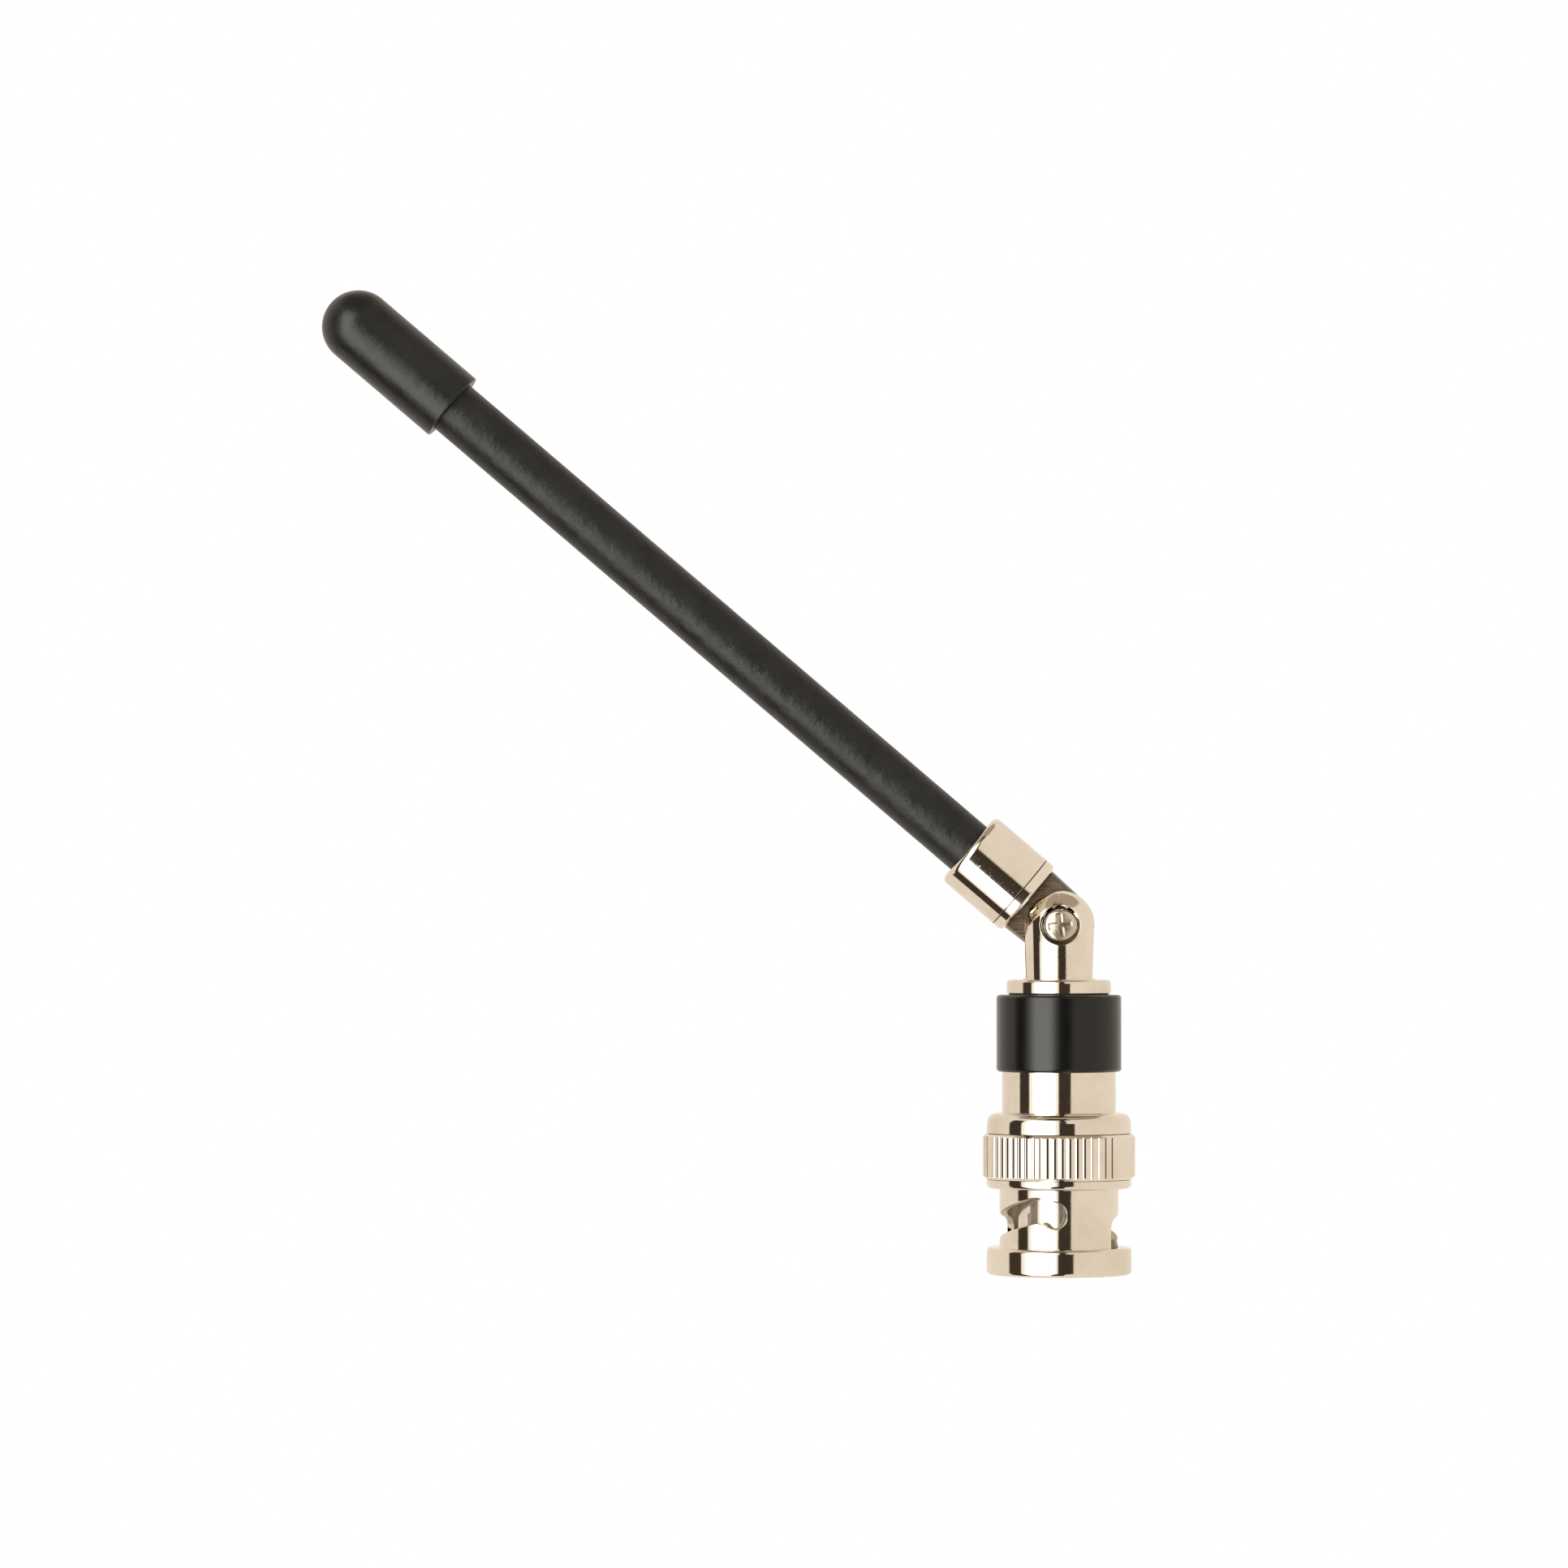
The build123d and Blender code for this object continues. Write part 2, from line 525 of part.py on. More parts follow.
# --- tongue: flattened end, ring and the spigot inside the ferrule -------------------------------------------------------------
with BuildPart() as knuckle_tongue:
    turned(
        [
            (0, -TONGUE_END_R, 0),
            (TONGUE_END_R, -TONGUE_END_R, 0),
            (TONGUE_END_R, 0, 0),
            (TONGUE_R, RING_START, 0),
            (0, RING_START, 0),
        ],
        WHIP_SECTION,
    )
    with BuildSketch(WHIP_SECTION) as tongue_outline:
        Circle(TONGUE_END_R)
        with Locations((0, RING_START / 2)):
            Rectangle(2 * TONGUE_R, RING_START)
    extrude(tongue_outline.sketch, amount=TONGUE_THICKNESS / 2, both=True, mode=Mode.INTERSECT)
    turned(
        [
            (0, RING_START, 0),
            (RING_R, RING_START, RING_EDGE),
            (RING_R, RING_END, 0),
            (SPIGOT_R, RING_END, 0),
            (SPIGOT_R, SPIGOT_END, 0),
            (CORE_R + ASSEMBLED, SPIGOT_END, 0),
            (CORE_R + ASSEMBLED, CORE_START, 0),
            (0, CORE_START, 0),
        ],
        WHIP_SECTION,
    )
    pivot_drill(SCREW_R + PIVOT_RUNNING, -FORK_R, 2 * FORK_R)

# --- ferrule over the spigot and the foot of the rod ------------------------------------------------------------------------------
with BuildPart() as ferrule:
    turned(
        [
            (SPIGOT_R + ASSEMBLED, RING_END, 0),
            (RING_R, RING_END, 0),
            (RING_R, FERRULE_END, FERRULE_EDGE),
            (ROD_R + ASSEMBLED, FERRULE_END, 0),
            (ROD_R + ASSEMBLED, SPIGOT_END + ASSEMBLED, 0),
            (SPIGOT_R + ASSEMBLED, SPIGOT_END + ASSEMBLED, 0),
        ],
        WHIP_SECTION,
    )

# --- whip: straight conductor in a stiff tube, a thin skin over it, and the tip cap --------------------------------------------------
with BuildPart() as whip_core:
    sleeve(CORE_R, 0, CORE_START + ASSEMBLED, CORE_END, plane=WHIP_SECTION)

with BuildPart() as core_tube:
    sleeve(ROD_R - ROD_SKIN - ASSEMBLED, CORE_R + ASSEMBLED, ROD_START, ROD_END, plane=WHIP_SECTION)

with BuildPart() as rod_sleeve:
    sleeve(ROD_R, ROD_R - ROD_SKIN, ROD_START, ROD_END, plane=WHIP_SECTION)

with BuildPart() as tip_cap:
    turned(
        [
            (ROD_R + ASSEMBLED, CAP_START, 0),
            (CAP_R, CAP_START, CAP_MOUTH_EDGE),
            (CAP_R, WHIP_LENGTH, CAP_R - ASSEMBLED),
            (0, WHIP_LENGTH, 0),
            (0, CAP_FLOOR, 0),
            (ROD_R + ASSEMBLED, CAP_FLOOR, 0),
        ],
        WHIP_SECTION,
    )

pieces = {
    "tip_cap": tip_cap,
    "rod_sleeve": rod_sleeve,
    "core_tube": core_tube,
    "whip_core": whip_core,
    "ferrule": ferrule,
    "knuckle_tongue": knuckle_tongue,
    "pivot_washers": pivot_washers,
    "pivot_screw": pivot_screw,
    "knuckle_fork": knuckle_fork,
    "seal_washer": seal_washer,
    "insulator_collar": insulator_collar,
    "stem_washer": stem_washer,
    "stem_nut": stem_nut,
    "feed_stud": feed_stud,
    "rear_body": rear_body,
    "rear_insulator": rear_insulator,
    "front_insulator": front_insulator,
    "centre_pin": centre_pin,
    "outer_contact": outer_contact,
    "gasket": gasket,
    "wave_spring": wave_spring,
    "thrust_washer": thrust_washer,
    "coupling_nut": coupling_nut,
}
os.makedirs("parts", exist_ok=True)
for name, piece in pieces.items():
    piece.part.label = name
    export_step(piece.part, f"parts/{name}.step")
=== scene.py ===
"""Looks for the elbowed whip antenna on its bayonet plug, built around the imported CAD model."""

import json
from math import asin, atan2, cos, degrees, pi, radians, sin, sqrt, tan

import bpy
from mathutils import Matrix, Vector


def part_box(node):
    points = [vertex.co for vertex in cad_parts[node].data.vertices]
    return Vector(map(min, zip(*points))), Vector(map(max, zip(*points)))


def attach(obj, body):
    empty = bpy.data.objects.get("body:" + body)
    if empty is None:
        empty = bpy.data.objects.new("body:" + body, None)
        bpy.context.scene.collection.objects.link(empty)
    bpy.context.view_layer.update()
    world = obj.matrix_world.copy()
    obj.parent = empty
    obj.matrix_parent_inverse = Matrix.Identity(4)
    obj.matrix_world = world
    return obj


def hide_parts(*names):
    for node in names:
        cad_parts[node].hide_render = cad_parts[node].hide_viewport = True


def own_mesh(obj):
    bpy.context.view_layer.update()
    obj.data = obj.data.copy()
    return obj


MM = 0.001
WHITE = (1, 1, 1, 1)

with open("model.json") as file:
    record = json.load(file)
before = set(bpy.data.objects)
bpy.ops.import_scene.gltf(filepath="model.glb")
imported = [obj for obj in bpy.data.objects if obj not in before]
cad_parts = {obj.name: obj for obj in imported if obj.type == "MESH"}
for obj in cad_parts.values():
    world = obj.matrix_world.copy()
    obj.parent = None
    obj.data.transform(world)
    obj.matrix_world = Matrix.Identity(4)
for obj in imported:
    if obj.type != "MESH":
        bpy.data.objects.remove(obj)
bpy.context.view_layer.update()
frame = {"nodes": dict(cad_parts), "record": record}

# --- what the frame says ------------------------------------------------------------------------------
JOINTS = {joint["name"]: joint for joint in frame["record"]["behaviour"]["joints"]}
PIVOT = Vector(JOINTS["whip_tilt"]["pos_m"])


def box_centre(node):
    low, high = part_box(node)
    return (Vector(low) + Vector(high)) / 2


WHIP_AXIS = (box_centre("whip_core") - PIVOT).normalized()
LEAN = atan2(-WHIP_AXIS.x, WHIP_AXIS.z)

# --- camera -------------------------------------------------------------------------------------------
CAMERA_DISTANCE = 0.6192
CAMERA_HEIGHT = 0.0348
AIM_X, AIM_Z = -0.0262, 0.0467
LENS = 149.07           # mm, as is the sensor
SENSOR = 36.0
CLIP_END = 100.0
FLOOR_Z = -0.45
FLOOR_HALF = 40.0


# --- small node helpers ---------------------------------------------------------------------------------
class Nodes:
    """A node tree with short ways to add a node and to join two sockets."""

    def __init__(self, tree):
        self.tree = tree
        tree.nodes.clear()

    def add(self, kind, inputs=None, **settings):
        """A node whose inputs, by name or number, get a value or a link from another node's socket."""
        node = self.tree.nodes.new(kind)
        for name, value in settings.items():
            setattr(node, name, value)
        for name, value in (inputs or {}).items():
            if isinstance(value, bpy.types.NodeSocket):
                self.tree.links.new(value, node.inputs[name])
            else:
                node.inputs[name].default_value = value
        return node

    def math(self, operation, *values):
        return self.add("ShaderNodeMath", dict(enumerate(values)), operation=operation).outputs[0]

    def vector(self, operation, *values):
        node = self.add("ShaderNodeVectorMath", dict(enumerate(values)), operation=operation)
        return node.outputs["Value" if operation == "DOT_PRODUCT" else "Vector"]

    def ramp(self, value, low, high, to_low=0.0, to_high=1.0, smooth=True):
        node = self.add(
            "ShaderNodeMapRange",
            {"Value": value, "From Min": low, "From Max": high, "To Min": to_low, "To Max": to_high},
            interpolation_type="SMOOTHSTEP" if smooth else "LINEAR",
        )
        return node.outputs[0]

    def mix(self, factor, first, second):
        """Of two colours, the node's inputs 6 and 7 and its output 2."""
        return self.add("ShaderNodeMix", {0: factor, 6: first, 7: second}, data_type="RGBA").outputs[2]

    def noise(self, position, per_mm, detail=2.0, roughness=0.5):
        inputs = {"Vector": position, "Scale": per_mm / MM, "Detail": detail, "Roughness": roughness}
        return self.add("ShaderNodeTexNoise", inputs).outputs["Fac"]


# --- studio -----------------------------------------------------------------------------------------------
WALL = (0.95, 0.86, 0.74, 1)
SOFTBOX = (5.0, 4.85, 4.55, 1)
SOFTBOX_RIM = (1.22, 1.16, 1.04, 1)
CEILING = (0.47, 0.38, 0.283, 1)
FLAG = (0.055, 0.042, 0.03, 1)
# name: colour, azimuth from the camera's side towards +X, elevation, softness of the edge, in degrees,
# and how far the panel leans: degrees of azimuth per degree below the horizon
PANELS = {
    "ceiling": (CEILING, (-180.0, 180.0), (54.0, 150.0), 4.0, 0.0),
    "ceiling flag": (FLAG, (-35.0, 20.0), (50.0, 71.0), 4.0, 0.0),
    "softbox rim": (SOFTBOX_RIM, (-65.0, -2.0), (-50.0, 46.0), 1.5, 0.0),
    "key softbox": (SOFTBOX, (-53.0, -13.0), (-44.0, 38.0), 7.0, 0.0),
    "left flag": (FLAG, (-89.0, -65.0), (-60.0, 36.0), 1.8, 0.0),
    "left flag low": (FLAG, (-101.0, -67.0), (-60.0, -32.0), 1.8, 0.0),
    "right flag": (FLAG, (-2.0, 23.0), (-60.0, 8.0), 1.4, 0.77),
    "right flag top": (FLAG, (-2.0, 10.0), (6.0, 60.0), 2.5, 0.0),
}
PANEL_LEAN_DOWN_TO = 20.0


def middle_and_half(limits):
    return radians(sum(limits) / 2), radians((limits[1] - limits[0]) / 2)


def build_studio():
    """The room as light from each direction: a warm pale wall, softboxes and dark flags."""
    world = bpy.data.worlds.new("studio")
    world.use_nodes = True
    nodes = Nodes(world.node_tree)
    toward = nodes.add("ShaderNodeTexCoord").outputs["Generated"]
    axes = nodes.add("ShaderNodeSeparateXYZ", {"Vector": toward}).outputs
    azimuth = nodes.math("ARCTAN2", axes["X"], nodes.math("MULTIPLY", axes["Y"], -1.0))
    elevation = nodes.math("ARCSINE", axes["Z"])
    below = nodes.math("MAXIMUM", nodes.math("MINIMUM", elevation, 0.0), radians(-PANEL_LEAN_DOWN_TO))
    colour = WALL
    for shade, sides, heights, softness, lean in PANELS.values():
        edge = radians(softness)
        middle, half = middle_and_half(sides)
        leant = nodes.math("MULTIPLY", below, lean)
        turned_to = nodes.math("SUBTRACT", nodes.math("SUBTRACT", azimuth, middle), leant)
        across = nodes.math("ABSOLUTE", nodes.math("WRAP", turned_to, pi, -pi))
        between = nodes.ramp(across, half - edge, half + edge, 1.0, 0.0)
        middle, half = middle_and_half(heights)
        above = nodes.math("ABSOLUTE", nodes.math("SUBTRACT", elevation, middle))
        inside = nodes.math("MULTIPLY", between, nodes.ramp(above, half - edge, half + edge, 1.0, 0.0))
        colour = nodes.mix(inside, colour, shade)
    room = nodes.add("ShaderNodeBackground", {"Color": colour})
    backdrop = nodes.add("ShaderNodeBackground", {"Color": WHITE})
    seen = nodes.add("ShaderNodeLightPath").outputs["Is Camera Ray"]
    both = nodes.add("ShaderNodeMixShader", {"Fac": seen})
    nodes.tree.links.new(room.outputs[0], both.inputs[1])
    nodes.tree.links.new(backdrop.outputs[0], both.inputs[2])
    nodes.add("ShaderNodeOutputWorld", {"Surface": both.outputs[0]})
    bpy.context.scene.world = world


def build_floor():
    """A white plane that only the camera sees."""
    mesh = bpy.data.meshes.new("floor")
    corners = [(x * FLOOR_HALF, y * FLOOR_HALF, FLOOR_Z) for x, y in ((-1, -1), (1, -1), (1, 1), (-1, 1))]
    mesh.from_pydata(corners, [], [(0, 1, 2, 3)])
    floor = bpy.data.objects.new("floor", mesh)
    bpy.context.collection.objects.link(floor)
    material = bpy.data.materials.new("floor_white")
    material.use_nodes = True
    nodes = Nodes(material.node_tree)
    glow = nodes.add("ShaderNodeEmission", {"Color": WHITE})
    nodes.add("ShaderNodeOutputMaterial", {"Surface": glow.outputs[0]})
    mesh.materials.append(material)
    floor.visible_glossy = False
    floor.visible_diffuse = False
    floor.visible_transmission = False
    floor.visible_shadow = False


def build_camera():
    lens = bpy.data.cameras.new("camera")
    lens.lens = LENS
    lens.sensor_width = SENSOR
    lens.clip_end = CLIP_END
    camera = bpy.data.objects.new("camera", lens)
    bpy.context.collection.objects.link(camera)
    camera.location = (AIM_X, -CAMERA_DISTANCE, CAMERA_HEIGHT)
    aim = Vector((AIM_X, 0, AIM_Z)) - camera.location
    camera.rotation_euler = aim.to_track_quat("-Z", "Y").to_euler()
    bpy.context.scene.camera = camera


# --- materials ----------------------------------------------------------------------------------------------
def material_nodes(name):
    material = bpy.data.materials.new(name)
    material.use_nodes = True
    return material, Nodes(material.node_tree)


def finish_material(nodes, shader, inputs):
    bsdf = nodes.add("ShaderNodeBsdfPrincipled", {**shader, **inputs})
    nodes.add("ShaderNodeOutputMaterial", {"Surface": bsdf.outputs[0]})


BEVEL_SAMPLES = 6


def bumped(nodes, height, depth_mm, edge_mm):
    """A normal raised by height, over edges that are rounded in the shading only."""
    inputs = {"Height": height, "Distance": depth_mm * MM, "Strength": 1.0}
    if edge_mm:
        bevel = nodes.add("ShaderNodeBevel", {"Radius": edge_mm * MM}, samples=BEVEL_SAMPLES)
        inputs["Normal"] = bevel.outputs[0]
    return nodes.add("ShaderNodeBump", inputs).outputs[0]


def plated(name, colour, worn, roughness=(0.045, 0.11), grain_mm=0.001, edge_mm=0.06, metal=1.0, dome=None,
           crown=0.0):
    """Bright plate: faint orange peel, small specks and a little duller tarnish.

    Dome leans the shading up between two heights. Crown leans it away from the screw's axis, by so much a mm.
    """
    material, nodes = material_nodes(name)
    place = nodes.add("ShaderNodeTexCoord").outputs["Object"]
    peel = nodes.noise(place, 1.1, 3.0)
    specks = nodes.ramp(nodes.noise(place, 5.5, 2.0), 0.63, 0.72)
    tarnish = nodes.ramp(nodes.noise(place, 0.22, 4.0, 0.6), 0.35, 0.75)
    shade = nodes.mix(nodes.math("MULTIPLY", tarnish, 0.5), colour, worn)
    shade = nodes.mix(nodes.math("MULTIPLY", specks, 0.35), shade, worn)
    height = nodes.math("ADD", peel, nodes.math("MULTIPLY", specks, 0.6))
    gloss = nodes.ramp(nodes.math("ADD", nodes.math("MULTIPLY", tarnish, 0.6), specks), 0.0, 1.2, *roughness)
    normal = bumped(nodes, height, grain_mm, edge_mm)
    if dome:
        up = nodes.ramp(nodes.add("ShaderNodeSeparateXYZ", {"Vector": place}).outputs["Z"], *dome)
        lift = nodes.add("ShaderNodeCombineXYZ", {"Z": up}).outputs[0]
        normal = nodes.vector("NORMALIZE", nodes.vector("ADD", normal, lift))
    if crown:
        off_centre = nodes.vector("SUBTRACT", place, tuple(box_centre("pivot_screw")))
        away = nodes.vector("MULTIPLY", off_centre, (crown / MM, 0, crown / MM))
        normal = nodes.vector("NORMALIZE", nodes.vector("ADD", normal, away))
    finish_material(nodes, {"Metallic": metal}, {"Base Color": shade, "Roughness": gloss, "Normal": normal})
    return material


RING_START = 3.8 * MM   # of the polished ring, along the whip from the pivot
# painted shadow of the gap: about a mm past the polished ring's start, the flat turns dark along the whip
SEAM_SHADOW_START, SEAM_SHADOW_FULL = RING_START + 1.02 * MM, RING_START + 1.08 * MM


def milled(name, colour, dark, bright, edge_mm=0.05):
    """A flat left by a cutter, fine parallel lines across the whip, up to the polished ring and, past it, a dark
    band that is painted shadow of the gap there.
    """
    material, nodes = material_nodes(name)
    place = nodes.add("ShaderNodeTexCoord").outputs["Object"]
    along = nodes.vector("DOT_PRODUCT", nodes.vector("SUBTRACT", place, tuple(PIVOT)), tuple(WHIP_AXIS))
    polished = nodes.math("GREATER_THAN", along, RING_START)
    # painted shadow: past this point the base colour goes over to dark, standing in for the shade in the gap
    seam_shadow = nodes.ramp(along, SEAM_SHADOW_START, SEAM_SHADOW_FULL)
    turned_to = nodes.add("ShaderNodeMapping", {"Vector": place, "Rotation": (0, LEAN, 0), "Scale": (0.25, 1, 6)})
    lines = nodes.noise(turned_to.outputs[0], 2.2, 6.0, 0.7)
    blotch = nodes.noise(place, 0.5, 3.0)
    shade = nodes.mix(nodes.ramp(lines, 0.3, 0.7), dark, colour)
    gloss = nodes.ramp(nodes.math("ADD", lines, blotch), 0.6, 1.4, 0.28, 0.42)
    rough = nodes.math("MULTIPLY", lines, nodes.math("SUBTRACT", 1.0, polished))
    finish_material(nodes, {"Metallic": 1.0}, {
        "Base Color": nodes.mix(seam_shadow, nodes.mix(polished, shade, bright), dark),
        "Roughness": nodes.ramp(polished, 0.0, 1.0, gloss, 0.07, smooth=False),
        "Normal": bumped(nodes, rough, 0.002, edge_mm),
    })
    return material


def moulded(name, colour, highlight, roughness, grain_per_mm, grain_mm, specular=0.5, edge_mm=0.05, lumps=0.0):
    """Rubber or plastic with a fine skin texture and small changes of tone."""
    material, nodes = material_nodes(name)
    place = nodes.add("ShaderNodeTexCoord").outputs["Object"]
    grain = nodes.noise(place, grain_per_mm, 4.0, 0.65)
    tone = nodes.noise(place, 0.35, 3.0)
    shade = nodes.mix(nodes.ramp(nodes.math("ADD", grain, tone), 0.7, 1.3), colour, highlight)
    gloss = nodes.ramp(nodes.math("ADD", grain, tone), 0.6, 1.4, *roughness)
    height = nodes.math("ADD", grain, nodes.math("MULTIPLY", nodes.noise(place, 0.9, 2.0), lumps))
    finish_material(nodes, {"Specular IOR Level": specular}, {
        "Base Color": shade,
        "Roughness": gloss,
        "Normal": bumped(nodes, height, grain_mm, edge_mm),
    })
    return material


NICKEL = (0.80, 0.745, 0.665, 1)
NICKEL_WORN = (0.62, 0.54, 0.45, 1)
FORK_DOME = (PIVOT.z + 0.2 * MM, PIVOT.z + 2.3 * MM, 0.0, 0.75)     # two heights, and the lean at each
SCREW_CROWN = 0.16

materials = {
    "nickel_plate": plated("bright_nickel", NICKEL, NICKEL_WORN),
    "nickel_nut": plated("nut_nickel", NICKEL, NICKEL_WORN, edge_mm=0),
    # painted shade: a darker, duller copy of the nut's nickel for its bore and slot walls
    "nut_inside_shaded": plated("nut_inside_shaded", (0.50, 0.43, 0.345, 1), (0.40, 0.335, 0.265, 1), (0.3, 0.4),
                         edge_mm=0, metal=0.45),
    "fork_nickel": plated("fork_nickel", NICKEL, NICKEL_WORN, dome=FORK_DOME),
    "screw_nickel": plated("screw_nickel", (0.60, 0.55, 0.46, 1), (0.34, 0.30, 0.235, 1), (0.22, 0.34),
                           grain_mm=0.002, crown=SCREW_CROWN),
    "milled_nickel": milled("milled_nickel", (0.26, 0.205, 0.155, 1), (0.085, 0.064, 0.047, 1), NICKEL),
    "contact_nickel": plated("turned_nickel", (0.72, 0.66, 0.58, 1), NICKEL_WORN, (0.1, 0.2), metal=0.8),
    "gold_plate": plated("gold", (0.94, 0.70, 0.32, 1), (0.78, 0.55, 0.24, 1)),
    "whip_brass": plated("brass", (0.82, 0.63, 0.34, 1), (0.6, 0.43, 0.22, 1), (0.15, 0.3)),
    "spring_steel": plated("spring_steel", (0.56, 0.55, 0.53, 1), (0.42, 0.4, 0.37, 1), (0.18, 0.32),
                           edge_mm=0.01),
    "cap_rubber": moulded("cap_rubber", (0.0036, 0.0042, 0.0048, 1), (0.0075, 0.0082, 0.0088, 1), (0.26, 0.36),
                          9.0, 0.009, specular=0.36, lumps=5.0),
    "rod_skin": moulded("heat_shrink", (0.004, 0.0046, 0.0052, 1), (0.010, 0.0108, 0.0112, 1), (0.30, 0.46),
                        5.0, 0.02, specular=0.32, lumps=4.5),
    "core_plastic": moulded("core_plastic", (0.72, 0.70, 0.64, 1), (0.78, 0.76, 0.71, 1), (0.4, 0.5), 4.0, 0.003),
    "collar_plastic": moulded("collar_plastic", (0.002, 0.002, 0.002, 1), (0.003, 0.003, 0.003, 1), (0.18, 0.24),
                              7.0, 0.0012, specular=0.4),
    "seal_rubber": moulded("seal_rubber", (0.014, 0.014, 0.014, 1), (0.022, 0.022, 0.021, 1), (0.5, 0.65),
                           8.0, 0.004),
    "ptfe": moulded("ptfe", (0.84, 0.84, 0.82, 1), (0.9, 0.9, 0.88, 1), (0.35, 0.45), 5.0, 0.003),
    "silicone": moulded("silicone", (0.36, 0.075, 0.035, 1), (0.46, 0.11, 0.055, 1), (0.4, 0.55), 6.0, 0.004),
}

# --- coupling nut ---------------------------------------------------------------------------------------------
BARREL_R, BORE_R, RIM_R, GROOVE_R = 5.665, 4.93, 6.9, 5.6
RIM_TOP, BARREL_TOP, NUT_TOP = 2.6, 8.2, 15.35
KNURL_BOTTOM, KNURL_TOP, KNURL_R, KNURL_END_R = 9.1, 13.4, 7.25, 6.95
TEETH = 56
LIP_BORE_R, LIP_FRONT = 3.98, 14.3
RIDGE_HALF, RIDGE_CROWN_R, GROOVE_DEPTH = 0.325, 0.95, 0.06
POCKET, POCKET_R, POCKET_Z = -7.2, 1.28, 5.77
ENTRY_SWEEP, ENTRY_Z, RAMP_RISE, SLOT_HALF = 102.5, 4.23, 0.0244, 1.2
CREST_SWEEP, CREST_OVERRUN = 20.0, 2.0
SLOT_EDGE = 0.14
LEAD_IN = 0.15          # of the bore's mouth
RIM_EDGE, SHOULDER_EDGE, CROWN_EDGE, LIP_EDGE = 0.4, 0.42, 0.9, 0.12
FOOT_STEP_R, FOOT_STEP = 0.12, 0.05
HEAD_STEP_R, HEAD_STEP = 0.14, 0.07
CROWN_TOP_R = 6.8
ARC_STEPS = 6
SLOT_COLUMNS = 24       # across each pocket and each entry
NEAR = 20               # degrees from a pocket or entry, beyond which it is the nut's far side
SWEEP_WINDOW = 150      # degrees before a pocket that still count as its own track
SIDE_STEP = 1e-4        # degrees off a column, to tell the two faces of a step apart
REACH_STEP = 1e-5       # mm off a column, to tell the two slopes of a corner apart
WELDS_PER_MM = 2e4
SMALLEST_FACE = 1e-7
SMOOTH_COSINE = 0.7     # between the normals of neighbours that are shaded as one surface
DIAGONAL = 0.7
OUT, IN = (1.0, 0.0), (-1.0, 0.0)


def track_height(sweep):
    """Height of the bayonet track's middle, by the sweep still to go before its pocket."""
    fall = max(0.0, min(1.0, (CREST_SWEEP - sweep) / (CREST_SWEEP + CREST_OVERRUN)))
    drop = ENTRY_Z + RAMP_RISE * ENTRY_SWEEP - POCKET_Z
    return ENTRY_Z + RAMP_RISE * (ENTRY_SWEEP - sweep) - drop * fall * fall * (3 - 2 * fall)


def slot_at(azimuth, side=0):
    """Lower and upper edge of the bayonet slot at an azimuth, or None. Side picks one face of a step."""
    probe = (azimuth - POCKET + SWEEP_WINDOW) % 180 - SWEEP_WINDOW + side * SIDE_STEP
    low, high = [], []
    if -ENTRY_SWEEP <= probe <= 0:
        low.append(track_height(-probe) - SLOT_HALF)
        high.append(track_height(-probe) + SLOT_HALF)
    across = BARREL_R * sin(radians(probe))
    if abs(probe) < NEAR and abs(across) <= POCKET_R:
        rise = sqrt(max(0.0, POCKET_R ** 2 - across ** 2))
        low.append(POCKET_Z - rise)
        high.append(POCKET_Z + rise)
    across = BARREL_R * sin(radians(probe + ENTRY_SWEEP))
    if abs(probe + ENTRY_SWEEP) < NEAR and abs(across) <= SLOT_HALF:
        low.append(RIM_TOP)
        high.append(ENTRY_Z + sqrt(max(0.0, SLOT_HALF ** 2 - across ** 2)))
    return (min(low), max(high)) if low else None


def in_entry(azimuth, side=0):
    """Whether an azimuth is within the groove that leads a lug in from the nut's mouth."""
    probe = (azimuth - POCKET + ENTRY_SWEEP + 90) % 180 - 90 + side * SIDE_STEP
    return abs(BARREL_R * sin(radians(probe))) <= SLOT_HALF and abs(probe) < NEAR


def ridge(azimuth):
    """Radius of the knurl at an azimuth, and its slope on either side."""
    pitch = 360 / TEETH
    reach = radians((azimuth + pitch / 2) % pitch - pitch / 2) * KNURL_R
    valley_reach = radians(pitch / 2) * KNURL_R
    valley = RIDGE_CROWN_R - sqrt(RIDGE_CROWN_R ** 2 - RIDGE_HALF ** 2) + GROOVE_DEPTH
    wall = GROOVE_DEPTH / (valley_reach - RIDGE_HALF)
    slopes = []
    for side in (-1, 1):
        here = reach + side * REACH_STEP
        if abs(here) <= RIDGE_HALF:
            slopes.append(-here / sqrt(RIDGE_CROWN_R ** 2 - here ** 2))
        elif abs(here) > valley_reach:
            slopes.append(wall if here > 0 else -wall)
        else:
            slopes.append(-wall if here > 0 else wall)
    if abs(reach) <= RIDGE_HALF + 1e-6:
        inset = RIDGE_CROWN_R - sqrt(RIDGE_CROWN_R ** 2 - min(abs(reach), RIDGE_HALF) ** 2)
    else:
        inset = valley - wall * (valley_reach - abs(reach))
    return KNURL_R - inset, slopes


def spaced(start, stop, steps):
    return [start + (stop - start) * step / steps for step in range(steps + 1)]


